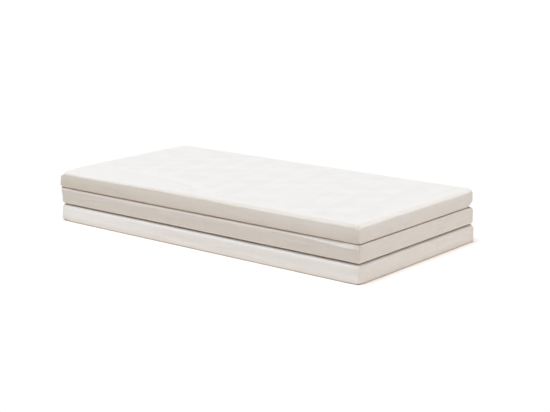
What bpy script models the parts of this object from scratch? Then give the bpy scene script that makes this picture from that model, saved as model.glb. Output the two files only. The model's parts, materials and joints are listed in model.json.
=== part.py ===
"""Folding foam guest mattress: three zipped panels in a Z-folded stack, joined by two cloth hinges.

Metres, +Z up.  X runs along the panels, Y across them.  The origin is the centre of the lowest
panel's underside.  Each panel is modelled once in its own frame, with its base sheet down and its
sleeping side up, and is then placed in the stack.  The middle panel lies upside down, so two
sleeping sides meet below it and two base sheets meet above it.
"""

import math

import bmesh
import bpy
from mathutils import Matrix, Vector

# Panels
PANEL_LENGTH = 1.400  # along X
PANEL_WIDTH = 0.666  # along Y, a third of the open mattress
PANEL_THICKNESS = 0.0626
PANEL_GAP = 0.0020  # room between stacked panels for a folded hinge tape
PANEL_NAMES = ("bottom", "middle", "top")
EDGE_RADIUS = 0.012  # round of the sleeping side's edges and of the upright corners
EDGE_SEGMENTS = 5
CLOTH = 0.0012  # thickness of the cover cloth
CLEARANCE = 0.0003  # between pieces that touch

# Cloth hinges
HINGE_OFFSET = 0.0004  # from a panel's side out to the hinge axis
TAPE_CLOTH = 0.0005
TAPE_FOLD_RADIUS = 0.00045  # at the middle of the tape's thickness
TAPE_FOLD_STEPS = 8
TAPE_SEAM = 0.006  # width sewn down on each panel
TAPE_SHORT_OF_CORNER = 0.060

# Zip across the left end of every panel.  Depths are measured outward from the cover's face.
ZIP_HEIGHT = PANEL_THICKNESS / 2
ZIP_SLOT_HALF_LENGTH = 0.290
ZIP_SLOT_HALF_WIDTH = 0.0060
ZIP_FOAM_INSET = 0.0050  # the foam stands back here, behind the zip
ZIP_TAPE_DEPTHS = (-0.0023, -0.0015)
ZIP_TAPE_REACH = 0.014  # from the zip's centre line to a tape's sewn edge
COIL_DEPTHS = (-0.0012, 0.0006)
COIL_WIDTH = 0.0024
COIL_HALF_GAP = 0.0006  # leaves room for the slider's post
END_TAB_LENGTH = 0.012
SLIDER_END_ROOM = 0.001

# Slider and pull
SLIDER_PLATE = 0.0010
SLIDER_HALF_LENGTH = 0.0070
SLIDER_LOWER_DEPTH = -0.0032  # middle of the plate behind the zip
SLIDER_UPPER_DEPTH = 0.00145  # middle of the plate in front of it
FLANGE_WIDTH = 0.0010
FLANGE_REACH = -0.0011
FLANGE_OUTER = 0.0044
POST_WIDTH = 0.0006
POST_SPAN = (0.0040, 0.0064)
BRIDGE_WIDTH = 0.0016
BRIDGE_BAR = 0.0010
BRIDGE_ROOM = 0.0020  # height of the space under the bridge
BRIDGE_HALF_ROOM = 0.0017
BRIDGE_LEG = 0.0012
OVERLAP = 0.0002  # how far shapes run into each other before a union
PULL_THICKNESS = 0.0011
PULL_LENGTH = 0.0240
PULL_PIVOT_DEPTH = SLIDER_UPPER_DEPTH + SLIDER_PLATE / 2 + BRIDGE_ROOM / 2

# Care label, sewn into the middle panel's base seam
LABEL_SIZE = (0.0005, 0.022, 0.040)
LABEL_CENTRE_Y = -0.307

STACK_STEP = PANEL_THICKNESS + PANEL_GAP
LOWER_AXIS = Vector((0, PANEL_WIDTH / 2 + HINGE_OFFSET, PANEL_THICKNESS + PANEL_GAP / 2))
UPPER_AXIS = Vector((0, -PANEL_WIDTH / 2 - HINGE_OFFSET, LOWER_AXIS.z + STACK_STEP))

MATERIALS = {
    "cover_cotton": ((0.86, 0.83, 0.78), 0.92, 0.0),
    "base_cotton": ((0.84, 0.81, 0.76), 0.94, 0.0),
    "foam": ((0.90, 0.87, 0.74), 0.95, 0.0),
    "zip_tape": ((0.84, 0.82, 0.78), 0.85, 0.0),
    "zip_coil": ((0.85, 0.83, 0.80), 0.40, 0.0),
    "zip_metal": ((0.72, 0.72, 0.70), 0.35, 1.0),
    "label_satin": ((0.93, 0.93, 0.92), 0.50, 0.0),
}


# Scene and objects


def clear_scene():
    for obj in list(bpy.data.objects):
        bpy.data.objects.remove(obj, do_unlink=True)


def new_collection(name):
    collection = bpy.data.collections.new(name)
    bpy.context.scene.collection.children.link(collection)
    return collection


def principled(name):
    colour, roughness, metallic = MATERIALS[name]
    material = bpy.data.materials.new(name)
    material.use_nodes = True
    shader = material.node_tree.nodes["Principled BSDF"]
    shader.inputs["Base Color"].default_value = (*colour, 1)
    shader.inputs["Roughness"].default_value = roughness
    shader.inputs["Metallic"].default_value = metallic
    return material


def add_object(name, mesh, collection, material=None, parent=None, location=(0, 0, 0)):
    obj = bpy.data.objects.new(name, mesh)
    obj.location = location
    obj.parent = parent
    collection.objects.link(obj)
    if material is not None and not mesh.materials:
        mesh.materials.append(material)
    return obj


def add_empty(name, collection, parent, location, rotation=(0, 0, 0)):
    empty = bpy.data.objects.new(name, None)
    empty.empty_display_size = 0.05
    empty.parent = parent
    empty.location = location
    empty.rotation_euler = rotation
    collection.objects.link(empty)
    return empty


# Shapes


def mesh_from(bm, name, smooth=False):
    bmesh.ops.recalc_face_normals(bm, faces=bm.faces)
    mesh = bpy.data.meshes.new(name)
    bm.to_mesh(mesh)
    bm.free()
    if smooth:
        mesh.shade_smooth()
        mesh.set_sharp_from_angle(angle=math.radians(35))
    return mesh


def box_bmesh(low, high):
    bm = bmesh.new()
    bmesh.ops.create_cube(bm, size=1)
    size = Vector(high) - Vector(low)
    middle = (Vector(high) + Vector(low)) / 2
    bmesh.ops.scale(bm, vec=size, verts=bm.verts)
    bmesh.ops.translate(bm, vec=middle, verts=bm.verts)
    return bm


def is_upright(edge):
    first, second = edge.verts
    return abs(first.co.z - second.co.z) > 1e-6


def bevel_edges(bm, edges, radius, segments):
    bmesh.ops.bevel(
        bm,
        geom=edges,
        offset=radius,
        offset_type="OFFSET",
        segments=segments,
        profile=0.5,
        affect="EDGES",
    )


def cushion_bmesh(low, high, radius):
    """A block with round upright corners and a round upper edge; its lower edge stays sharp."""
    bm = box_bmesh(low, high)
    middle = (low[2] + high[2]) / 2
    edges = [e for e in bm.edges if is_upright(e) or e.verts[0].co.z > middle]
    bevel_edges(bm, edges, radius, EDGE_SEGMENTS)
    return bm


def strip_mesh(name, low, high, round_by=0.0):
    bm = box_bmesh(low, high)
    if round_by:
        bevel_edges(bm, list(bm.edges), round_by, 2)
    return mesh_from(bm, name, smooth=bool(round_by))


def end_strip(name, depths, y_span, z_span, round_by=0.0):
    """A strip at the panel's left end, between two depths outward from the cover's face."""
    inner, outer = depths
    face = -PANEL_LENGTH / 2
    low = (face - outer, y_span[0], z_span[0])
    high = (face - inner, y_span[1], z_span[1])
    return strip_mesh(name, low, high, round_by)


def arc_corner(before, corner, after, radius, steps):
    """Points on the arc that rounds one corner of a flat outline."""
    corner = Vector(corner)
    back = (Vector(before) - corner).normalized()
    ahead = (Vector(after) - corner).normalized()
    half = back.angle(ahead) / 2
    centre = corner + (back + ahead).normalized() * (radius / math.sin(half))
    start = corner + back * (radius / math.tan(half)) - centre
    end = corner + ahead * (radius / math.tan(half)) - centre
    turn = start.angle_signed(end)
    rotated = [Matrix.Rotation(-turn * i / steps, 2) @ start for i in range(steps + 1)]
    return [centre + point for point in rotated]


def rounded(corners, radius, steps=3):
    """The closed outline through these corners, each rounded by an arc."""
    points = []
    for i, corner in enumerate(corners):
        before = corners[i - 1]
        after = corners[(i + 1) % len(corners)]
        points += arc_corner(before, corner, after, radius, steps)
    return points


def outline_mesh(name, outlines, thickness, placing):
    """A flat piece cut to an outline, with any further outlines as its holes."""
    curve = bpy.data.curves.new(name, "CURVE")
    curve.dimensions = "2D"
    curve.fill_mode = "BOTH"
    curve.extrude = thickness / 2
    for points in outlines:
        spline = curve.splines.new("POLY")
        spline.points.add(len(points) - 1)
        for target, point in zip(spline.points, points):
            target.co = (point[0], point[1], 0, 1)
        spline.use_cyclic_u = True
    guide = bpy.data.objects.new(name, curve)
    bpy.context.scene.collection.objects.link(guide)
    evaluated = guide.evaluated_get(bpy.context.evaluated_depsgraph_get())
    flat = bpy.data.meshes.new_from_object(evaluated)
    bm = bmesh.new()
    bm.from_mesh(flat)
    bmesh.ops.remove_doubles(bm, verts=bm.verts, dist=1e-6)
    bmesh.ops.transform(bm, matrix=placing, verts=bm.verts)
    bpy.data.objects.remove(guide)
    bpy.data.curves.remove(curve)
    bpy.data.meshes.remove(flat)
    return mesh_from(bm, name)


def united(name, meshes):
    """One mesh from several overlapping ones."""
    objects = [bpy.data.objects.new(f"{name}_{i}", m) for i, m in enumerate(meshes)]
    for obj in objects:
        bpy.context.scene.collection.objects.link(obj)
    body = objects[0]
    for other in objects[1:]:
        union = body.modifiers.new("join", "BOOLEAN")
        union.operation = "UNION"
        union.object = other
    evaluated = body.evaluated_get(bpy.context.evaluated_depsgraph_get())
    mesh = bpy.data.meshes.new_from_object(evaluated)
    mesh.name = name
    for obj in objects:
        bpy.data.objects.remove(obj)
    return mesh


# Panel pieces


def foam_core_mesh():
    inset = CLOTH + CLEARANCE
    low = (-PANEL_LENGTH / 2 + ZIP_FOAM_INSET, -PANEL_WIDTH / 2 + inset, inset)
    high = (PANEL_LENGTH / 2 - inset, PANEL_WIDTH / 2 - inset, PANEL_THICKNESS - inset)
    return mesh_from(cushion_bmesh(low, high, EDGE_RADIUS - inset), "foam_core", True)


def cover_sheet_mesh():
    """The sleeping side's sheet and its four skirts, open below."""
    low = (-PANEL_LENGTH / 2, -PANEL_WIDTH / 2, CLOTH + CLEARANCE)
    high = (PANEL_LENGTH / 2, PANEL_WIDTH / 2, PANEL_THICKNESS)
    bm = cushion_bmesh(low, high, EDGE_RADIUS)
    underside = [f for f in bm.faces if f.normal.z < -0.9]
    bmesh.ops.delete(bm, geom=underside, context="FACES_ONLY")
    return mesh_from(bm, "cover_sheet", True)


def base_sheet_mesh():
    low = (-PANEL_LENGTH / 2, -PANEL_WIDTH / 2, 0)
    high = (PANEL_LENGTH / 2, PANEL_WIDTH / 2, CLOTH)
    bm = box_bmesh(low, high)
    corners = [e for e in bm.edges if is_upright(e)]
    bevel_edges(bm, corners, EDGE_RADIUS, EDGE_SEGMENTS)
    return mesh_from(bm, "base_sheet")


def zip_mouth_mesh():
    """Cuts the left skirt away from above the zip down to its lower edge."""
    reach = 0.003
    span = (-ZIP_SLOT_HALF_LENGTH, ZIP_SLOT_HALF_LENGTH)
    heights = (-reach, ZIP_HEIGHT + ZIP_SLOT_HALF_WIDTH)
    return end_strip("zip_mouth", (-reach, reach), span, heights)


def zip_facing_mesh():
    """The strip below the zip, between it and the base seam."""
    half = ZIP_SLOT_HALF_LENGTH - CLEARANCE
    heights = (CLOTH + CLEARANCE, ZIP_HEIGHT - ZIP_SLOT_HALF_WIDTH)
    return end_strip("zip_facing", (-CLOTH, 0), (-half, half), heights)


def mirrored_span(side, near, far):
    """The heights from near to far above the zip's centre line, or below it."""
    return sorted((ZIP_HEIGHT + side * near, ZIP_HEIGHT + side * far))


def zip_tape_mesh(side):
    half = ZIP_SLOT_HALF_LENGTH - CLEARANCE
    heights = mirrored_span(side, COIL_HALF_GAP, ZIP_TAPE_REACH)
    return end_strip("zip_tape", ZIP_TAPE_DEPTHS, (-half, half), heights)


def coil_half_length():
    return ZIP_SLOT_HALF_LENGTH - END_TAB_LENGTH - 2 * CLEARANCE


def zip_coil_mesh(side):
    half = coil_half_length()
    heights = mirrored_span(side, COIL_HALF_GAP, COIL_HALF_GAP + COIL_WIDTH)
    return end_strip("zip_coil", COIL_DEPTHS, (-half, half), heights, round_by=0.0004)


def zip_end_tab_mesh(end):
    outer = ZIP_SLOT_HALF_LENGTH - CLEARANCE
    span = sorted((end * outer, end * (outer - END_TAB_LENGTH)))
    half_width = ZIP_SLOT_HALF_WIDTH - CLEARANCE
    heights = (ZIP_HEIGHT - half_width, ZIP_HEIGHT + half_width)
    return end_strip("zip_end_tab", (-CLOTH, 0), span, heights)


# Slider and pull, in a frame on the zip's centre line at the cover's face; outward is -X


ACROSS_FACE = Matrix(((0, 0, 1, 0), (1, 0, 0, 0), (0, 1, 0, 0), (0, 0, 0, 1)))
UP_FROM_FACE = Matrix(((0, -1, 0, 0), (1, 0, 0, 0), (0, 0, 1, 0), (0, 0, 0, 1)))


def at_depth(depth):
    return Matrix.Translation((-depth, 0, 0)) @ ACROSS_FACE


def slider_plate_mesh(name, depth):
    """Narrow at the tail, where the closed coil leaves, and wide at the nose."""
    upper = [(-7.0, 4.4), (1.0, 4.4), (5.0, 5.4), (7.0, 4.0)]
    corners = [(y / 1000, -z / 1000) for y, z in upper]
    corners += [(y / 1000, z / 1000) for y, z in reversed(upper)]
    return outline_mesh(name, [rounded(corners, 0.0008)], SLIDER_PLATE, at_depth(depth))


def slider_mesh():
    lower = slider_plate_mesh("lower_plate", SLIDER_LOWER_DEPTH)
    upper = slider_plate_mesh("upper_plate", SLIDER_UPPER_DEPTH)
    post = strip_mesh(
        "post",
        (-SLIDER_UPPER_DEPTH, POST_SPAN[0], -POST_WIDTH / 2),
        (-SLIDER_LOWER_DEPTH, POST_SPAN[1], POST_WIDTH / 2),
    )
    flanges = []
    for side in (-1, 1):
        span = sorted((side * FLANGE_OUTER, side * (FLANGE_OUTER - FLANGE_WIDTH)))
        low = (-SLIDER_UPPER_DEPTH, -SLIDER_HALF_LENGTH + 0.001, span[0])
        high = (-FLANGE_REACH, 0.001, span[1])
        flanges.append(strip_mesh("flange", low, high))
    return united("zip_slider", [upper, lower, post, *flanges, bridge_mesh()])


def bridge_mesh():
    """The arch that the pull hangs on."""
    inner = BRIDGE_HALF_ROOM
    outer = BRIDGE_HALF_ROOM + BRIDGE_LEG
    top = BRIDGE_ROOM + BRIDGE_BAR
    corners = [
        (-outer, -OVERLAP),
        (-inner, -OVERLAP),
        (-inner, BRIDGE_ROOM),
        (inner, BRIDGE_ROOM),
        (inner, -OVERLAP),
        (outer, -OVERLAP),
        (outer, top),
        (-outer, top),
    ]
    face = SLIDER_UPPER_DEPTH + SLIDER_PLATE / 2
    placing = Matrix.Translation((-face, 0, 0)) @ UP_FROM_FACE
    return outline_mesh("bridge", [rounded(corners, 0.00035)], BRIDGE_WIDTH, placing)


def pull_mesh():
    """A flat tab; its eye goes round the bridge, and its origin is on the pivot."""
    bar = 0.00055  # half of the eye's crossbar
    eye_end = -0.0040
    eye_half = 0.0013
    tab = [(bar, -0.0024), (bar, 0.0024), (-0.0050, 0.0024), (-0.0080, 0.0032)]
    tab += [(-PULL_LENGTH, 0.0034), (-PULL_LENGTH, -0.0034)]
    tab += [(-0.0080, -0.0032), (-0.0050, -0.0024)]
    eye = [(-bar, -eye_half), (-bar, eye_half), (eye_end, eye_half), (eye_end, -eye_half)]
    grip_hole = [(-0.0195, -0.0014), (-0.0195, 0.0014), (-0.0220, 0.0014), (-0.0220, -0.0014)]
    outlines = [rounded(tab, 0.0010), rounded(eye, 0.0003), rounded(grip_hole, 0.0011)]
    return outline_mesh("zip_pull", outlines, PULL_THICKNESS, ACROSS_FACE)


# Hinge tapes


def hinge_tape_mesh(name, axis, outward, leaf):
    """A strip folded double, fold on the hinge axis, with both leaves running in between the panels."""
    half = PANEL_LENGTH / 2 - TAPE_SHORT_OF_CORNER
    profile = [(-leaf, -TAPE_FOLD_RADIUS)]
    for step in range(TAPE_FOLD_STEPS + 1):
        turn = math.pi * (step / TAPE_FOLD_STEPS - 0.5)
        profile.append((TAPE_FOLD_RADIUS * math.cos(turn), TAPE_FOLD_RADIUS * math.sin(turn)))
    profile.append((-leaf, TAPE_FOLD_RADIUS))
    bm = bmesh.new()
    points = [bm.verts.new((-half, axis.y + outward * out, axis.z + up)) for out, up in profile]
    edges = [bm.edges.new(pair) for pair in zip(points, points[1:])]
    made = bmesh.ops.extrude_edge_only(bm, edges=edges)["geom"]
    moved = [item for item in made if isinstance(item, bmesh.types.BMVert)]
    bmesh.ops.translate(bm, vec=(2 * half, 0, 0), verts=moved)
    bmesh.ops.translate(bm, vec=-axis, verts=bm.verts)
    return mesh_from(bm, name, smooth=True)


# Assembly


def make_panel_meshes():
    return {
        "foam_core": foam_core_mesh(),
        "cover_sheet": cover_sheet_mesh(),
        "base_sheet": base_sheet_mesh(),
        "zip_facing": zip_facing_mesh(),
        "zip_tape_upper": zip_tape_mesh(1),
        "zip_tape_lower": zip_tape_mesh(-1),
        "zip_coil_upper": zip_coil_mesh(1),
        "zip_coil_lower": zip_coil_mesh(-1),
        "zip_end_tab_closed": zip_end_tab_mesh(1),
        "zip_end_tab_open": zip_end_tab_mesh(-1),
        "zip_slider": slider_mesh(),
        "zip_pull": pull_mesh(),
    }


SLOTS = {
    "foam_core": "foam",
    "cover_sheet": "cover_cotton",
    "base_sheet": "base_cotton",
    "zip_facing": "cover_cotton",
    "zip_tape_upper": "zip_tape",
    "zip_tape_lower": "zip_tape",
    "zip_coil_upper": "zip_coil",
    "zip_coil_lower": "zip_coil",
    "zip_end_tab_closed": "zip_tape",
    "zip_end_tab_open": "zip_tape",
    "zip_slider": "zip_metal",
    "zip_pull": "zip_metal",
}


def add_cover_modifiers(cover, zip_mouth):
    shell = cover.modifiers.new("cloth", "SOLIDIFY")
    shell.thickness = CLOTH
    shell.offset = -1
    shell.use_even_offset = True
    mouth = cover.modifiers.new("zip_mouth", "BOOLEAN")
    mouth.operation = "DIFFERENCE"
    mouth.object = zip_mouth


def add_panel(name, frame, meshes, materials, parts, cutters):
    """All the pieces of one panel, parented to its frame empty."""
    mouth = add_object(f"{name}_zip_mouth_cutter", zip_mouth_mesh(), cutters, parent=frame)
    mouth.hide_render = True
    mouth.display_type = "WIRE"
    slider_y = coil_half_length() - SLIDER_HALF_LENGTH - SLIDER_END_ROOM
    slider_at = Vector((-PANEL_LENGTH / 2, slider_y, ZIP_HEIGHT))
    places = {"zip_slider": slider_at, "zip_pull": Vector((-PULL_PIVOT_DEPTH, 0, 0))}
    made = {}
    for piece, mesh in meshes.items():
        parent = made["zip_slider"] if piece == "zip_pull" else frame
        place = places.get(piece, (0, 0, 0))
        material = materials[SLOTS[piece]]
        made[piece] = add_object(f"{name}_{piece}", mesh, parts, material, parent, place)
    add_cover_modifiers(made["cover_sheet"], mouth)


def add_hinge_tape(name, axis, outward, edge_radius, parts, materials, parent):
    leaf = edge_radius + HINGE_OFFSET + TAPE_SEAM
    mesh = hinge_tape_mesh(name, axis, outward, leaf)
    tape = add_object(name, mesh, parts, materials["cover_cotton"], parent)
    cloth = tape.modifiers.new("cloth", "SOLIDIFY")
    cloth.thickness = TAPE_CLOTH
    cloth.offset = 0
    cloth.use_even_offset = True
    return tape


def add_care_label(frame, parts, materials):
    depth, width, height = LABEL_SIZE
    foot = CLOTH + 2 * CLEARANCE
    depths = (CLEARANCE, CLEARANCE + depth)
    span = (LABEL_CENTRE_Y - width / 2, LABEL_CENTRE_Y + width / 2)
    mesh = end_strip("care_label", depths, span, (foot, foot + height))
    add_object("care_label", mesh, parts, materials["label_satin"], frame)


def main():
    clear_scene()
    parts = new_collection("folding_mattress")
    cutters = new_collection("cutters")
    materials = {name: principled(name) for name in MATERIALS}
    meshes = make_panel_meshes()

    # The lower hinge carries the middle panel, and the upper hinge on it carries the top panel.
    bottom = add_empty("bottom_panel", parts, None, (0, 0, 0))
    lower_fold = add_empty("lower_fold_axis", parts, bottom, LOWER_AXIS)
    upside_down = (math.pi, 0, 0)
    middle_place = Vector((0, 0, 2 * PANEL_THICKNESS + PANEL_GAP)) - LOWER_AXIS
    middle = add_empty("middle_panel", parts, lower_fold, middle_place, upside_down)
    upper_fold = add_empty("upper_fold_axis", parts, lower_fold, UPPER_AXIS - LOWER_AXIS)
    top_place = Vector((0, 0, 2 * STACK_STEP)) - UPPER_AXIS
    top = add_empty("top_panel", parts, upper_fold, top_place)

    for name, frame in zip(PANEL_NAMES, (bottom, middle, top)):
        add_panel(name, frame, meshes, materials, parts, cutters)
    add_hinge_tape("lower_hinge_tape", LOWER_AXIS, 1, EDGE_RADIUS, parts, materials, lower_fold)
    add_hinge_tape("upper_hinge_tape", UPPER_AXIS, -1, 0, parts, materials, upper_fold)
    add_care_label(middle, parts, materials)


main()
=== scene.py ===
"""Looks for the three-panel folding guest mattress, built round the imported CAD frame.

Metres, +Z up, in the frame of the CAD model.  Every panel is shaped once in its own frame, with its
base seam at z = 0 and its sleeping side up, and is then placed in the stack.  The middle panel lies
upside down, as in the CAD model.
"""

import itertools
import json
import math
import random

import bmesh
import bpy
import numpy as np
from mathutils import Matrix, Vector

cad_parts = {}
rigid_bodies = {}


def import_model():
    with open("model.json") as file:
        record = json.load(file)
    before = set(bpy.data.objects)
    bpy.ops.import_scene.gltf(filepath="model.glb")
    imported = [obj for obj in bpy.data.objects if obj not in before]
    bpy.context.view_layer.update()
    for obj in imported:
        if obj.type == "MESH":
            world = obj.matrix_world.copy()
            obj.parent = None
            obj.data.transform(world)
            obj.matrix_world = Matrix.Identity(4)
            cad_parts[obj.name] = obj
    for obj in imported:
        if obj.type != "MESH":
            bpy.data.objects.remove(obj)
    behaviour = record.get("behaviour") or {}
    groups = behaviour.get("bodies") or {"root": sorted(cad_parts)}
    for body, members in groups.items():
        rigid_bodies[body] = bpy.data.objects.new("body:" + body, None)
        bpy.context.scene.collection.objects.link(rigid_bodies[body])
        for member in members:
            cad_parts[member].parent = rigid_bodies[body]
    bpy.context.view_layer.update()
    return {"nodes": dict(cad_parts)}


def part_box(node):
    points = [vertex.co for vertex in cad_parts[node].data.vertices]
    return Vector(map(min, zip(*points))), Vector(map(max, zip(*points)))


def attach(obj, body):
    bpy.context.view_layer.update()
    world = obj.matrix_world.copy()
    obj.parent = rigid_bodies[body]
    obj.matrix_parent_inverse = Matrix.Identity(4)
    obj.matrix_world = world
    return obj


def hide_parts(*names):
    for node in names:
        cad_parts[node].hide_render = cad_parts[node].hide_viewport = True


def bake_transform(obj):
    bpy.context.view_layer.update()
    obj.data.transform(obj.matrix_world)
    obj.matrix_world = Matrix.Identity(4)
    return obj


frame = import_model()

# Panels, read from the CAD model
PANELS = ("bottom", "middle", "top")


def each(*values):
    """One value for each panel, in the order of PANELS."""
    return dict(zip(PANELS, values))


COVER_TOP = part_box("bottom_cover_sheet")[1]
HALF_LENGTH = COVER_TOP.x
HALF_WIDTH = COVER_TOP.y
THICKNESS = COVER_TOP.z
CLOTH = 0.0012

# The cover's form
EDGE_RADIUS = 0.0088  # sleeping edge and upright corners
BASE_ROUND = 0.0040  # where the skirt turns under to the base seam
SIDE_INSET = 0.0022  # the skirt's hollow before it swells
LEAN = each(  # how far the front, back, left and right sleeping edge stands back from its base seam
    (0.0070, 0.0004, 0.0010, 0.0004),
    (0.0026, 0.0004, 0.0022, 0.0010),
    (0.0006, 0.0010, 0.0006, 0.0006),
)
ROLLED_BACK = each(0.0004, 0.0004, 0.0018)  # more, just at the sleeping edge
BOTTOM_FRONT_PROUD = 0.0042  # how far the lowest skirt stands out in front of the others
UPRIGHT_PUSH = each(  # how far an upright corner stands out
    {("left", "front"): 0.0030, ("right", "front"): -0.0026, ("right", "back"): 0.0030},
    {("left", "front"): 0.0034},
    {("left", "front"): 0.0040, ("right", "back"): -0.0025},
)
PUSH_REACH = 0.020
# The sleeping edge's radius once it is worn, at the left end and at the right end
SLEEPING_EDGE = each((0.0088, 0.0088), (0.0082, 0.0082), (0.0100, 0.0215))
EDGE_SUNK = 0.0085  # how far the top panel's front edge has sunk at its left end
SLEEPING_CORNER = each(0.0130, 0.0130, 0.0225)
BASE_CORNER = 0.0080
TUCKED_CORNERS = each(  # base corners that are drawn in: how far, and from what height
    {("left", "front"): (0.0070, 0.0210), ("right", "front"): (0.0030, 0.0150)},
    {("right", "back"): (0.0105, 0.0230)},
    {("right", "back"): (0.0125, 0.0250)},
)
TUCK_REACH = 0.026
SEAM_LEAN = each(0.0008, 0.0, 0.0045)  # how the upright seams slope
HINGE_SIDES = each(("back",), ("back", "front"), ("front",))
FREE_BULGE = 0.0018  # how far a side without a hinge may stand proud of the CAD panel
WAY_UP = each(1, -1, 1)  # the middle panel's own Y runs to the front
SIGN = {"left": -1, "right": 1, "front": -1, "back": 1}
NEAR_SIDE = 0.15  # where a side's lean begins, measured from the panel's middle
NEAR_END = 0.45
SEEDS = each(11, 23, 37)

# The grid that a cover's skin is built on.  Coarse cells are halved once for the outer surface.
CELL = 0.0092
CELL_UP = 0.0075
ROUND_STEPS = 3

# Cloth simulation
SIM_FRAMES = 20
CLOTH_SETTINGS = dict(
    quality=6,
    mass=0.25,
    tension_stiffness=20,
    compression_stiffness=20,
    shear_stiffness=8,
    bending_stiffness=0.4,
    vertex_group_mass="held",
    pin_stiffness=1.0,
    shrink_min=-0.005,  # how much larger the cloth is cut than the foam
    use_pressure=True,
    uniform_pressure_force=4.0,
)
SWELL_CAP = 0.0024  # how far the cloth swells at most
MOST_SUNK = 0.0005

# Drag lines: the limits of their length, slope, height and width
DRAG_LIMITS = ((0.04, 0.14), (-0.14, 0.14), (0.012, THICKNESS - 0.016), (0.0035, 0.0065))

# Inside
FOAM_GAP = 0.0030  # from the cover's outer face in to the foam
FOAM_BEHIND_ZIP = 0.0052

# Zip, from the CAD model's slot
ZIP_HEIGHT = THICKNESS / 2
MOUTH_END = 0.290  # the mouth's half length
MOUTH_EDGE = 0.0060  # and half width
COIL_PITCH = 0.0015
COIL_WIRE = 0.00028
TAPE_LINES = (0.0006, 0.0011, 0.0017, 0.0030, 0.0034, 0.0038, 0.0050, 0.0080, 0.0137, 0.0140)

# Hinge tapes
TAPE_CLOTH = 0.0005
TAPE_FOLD = 0.00045

# Sewing: a stitch and the loose thread end, each as steps along its length
STITCH = ((0.0, -0.6), (0.12, 0.45), (0.5, 0.75), (0.88, 0.45), (1.0, -0.6))
THREAD_END = (
    (0.003, -0.003, -0.0016),
    (0, 0, 0.0004),
    (-0.002, 0.0014, 0.0007),
    (-0.003, 0.004, 0.0004),
)

# Camera
CAMERA_AT = (2.861, -3.239, 1.102)
CAMERA_YAW = 40.67
CAMERA_PITCH = 13.19
CAMERA_ROLL = -0.86
CAMERA_LENS = 80.35

# Studio: how bright the sky is by the sine of the elevation, from the cove at the horizon upward
COVE = (1.03, 1.02, 1.01)
LOW_SKY = (0.03, 0.02, 0.01)
HIGH_SKY = (0.53, 0.68, 0.90)
SKY = ((0, COVE), (0.12, COVE), (0.16, LOW_SKY), (0.45, LOW_SKY), (0.75, HIGH_SKY), (1, HIGH_SKY))
# Each sun's azimuth, elevation, strength, width in degrees and colour
KEY_SUN = (-5, 83, 2.62, 25, (1, 0.97, 0.94))
FILL_SUN = (95, 15, 0.45, 40, (1, 0.84, 0.66))
FLOOR_HALF = 60
FLOOR_COLOUR = (0.870, 0.795, 0.728)

# Colours
COTTON = (0.79, 0.745, 0.68)
# A lighter copy of the cotton, for painted light
PAINTED_LIGHT_COTTON = (0.94, 0.915, 0.875)
# Painted light on the skirts, for each panel
SKIRT_PAINTED_LIGHT = each(0.95, 0.0, 0.0)  # of the skirts
EDGE_WEAR = each(0.1, 0.2, 0.1)
# Painted shade on the front side: its amount at the right, and how much more at the left
FRONT_PAINTED_SHADE = each((0, 0), (0.4, 0.0), (0.5, 0.5))  # right, and more at left
# Painted shade on the skirt above the base seam, for each panel
BASE_PAINTED_SHADE = each(0.0, 0.0, 0.20)
BASE_COTTON = (0.76, 0.715, 0.65)
SEAM_REACH = each(0.0048, 0.0038, 0.0038)
# Dark brown: the seams' darker lines, and painted shade in their grooves, in the creases between
# panels and at the floor
SEAM_SHADE = (0.49, 0.335, 0.23)
THREAD = (0.80, 0.74, 0.65)
FOAM = (0.86, 0.80, 0.60)
NYLON = (0.84, 0.81, 0.76)
# Dark brown, which also stands for the shade in the crease where the upper hinge tape lies
WEBBING = (0.50, 0.38, 0.28)
NICKEL = (0.46, 0.45, 0.43)
SATIN = (0.90, 0.90, 0.89)


# Numbers

TURN = 2 * math.pi


def smoothstep(low, high, value):
    t = np.clip((value - low) / (high - low), 0, 1)
    return t * t * (3 - 2 * t)


def bell(value, width):
    return np.exp(-((value / width) ** 2))


def grid(*lines):
    return np.meshgrid(*lines, indexing="ij")


def stacked(*columns):
    """Points from their X, Y and Z, or from any other columns."""
    return np.stack(np.broadcast_arrays(*columns), -1)


def waves(points, wavelengths, seed, count=6):
    """A smooth field of about -1 to 1: plane waves in chance directions."""
    chance = random.Random(seed)
    total = np.zeros(len(points))
    for _ in range(count):
        direction = np.array([chance.gauss(0, 1) for _ in range(points.shape[1])])
        direction /= np.linalg.norm(direction)
        wavelength = chance.uniform(*wavelengths)
        phase = chance.uniform(0, TURN)
        total += np.sin(points @ direction * (TURN / wavelength) + phase)
    return total / math.sqrt(count) / 1.4


# Meshes


def add_object(name, data):
    obj = bpy.data.objects.new(name, data)
    bpy.context.scene.collection.objects.link(obj)
    return obj


def mesh_object(name, points, faces, material=None):
    mesh = bpy.data.meshes.new(name)
    mesh.from_pydata([tuple(p) for p in points], [], [tuple(int(v) for v in f) for f in faces])
    mesh.update()
    mesh.shade_smooth()
    if material is not None:
        mesh.materials.append(material)
    return add_object(name, mesh)


def paint(obj, name, values):
    """Keeps one number a vertex on the mesh, for its material."""
    attribute = obj.data.attributes.new(name, "FLOAT", "POINT")
    attribute.data.foreach_set("value", np.asarray(values, np.float32))


def compact(points, faces, *more):
    """Drops the points that no face uses, and their rows of any further arrays."""
    used = sorted({int(v) for face in faces for v in face})
    number = {old: new for new, old in enumerate(used)}
    renamed = [tuple(number[int(v)] for v in face) for face in faces]
    return points[used], renamed, [values[used] for values in more]


def unit(vectors):
    return vectors / np.linalg.norm(vectors, axis=1)[:, None]


def quads_of(ids):
    """The faces between the points of a grid."""
    return np.stack((ids[:-1, :-1], ids[1:, :-1], ids[1:, 1:], ids[:-1, 1:]), -1).reshape(-1, 4)


def edges_of(faces):
    return np.concatenate([faces[:, [i, (i + 1) % 4]] for i in range(4)])


def open_edges(faces):
    """The edges of only one face, each in its face's direction."""
    directed = {(int(a), int(b)) for a, b in edges_of(faces)}
    return sorted((a, b) for a, b in directed if (b, a) not in directed)


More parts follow.
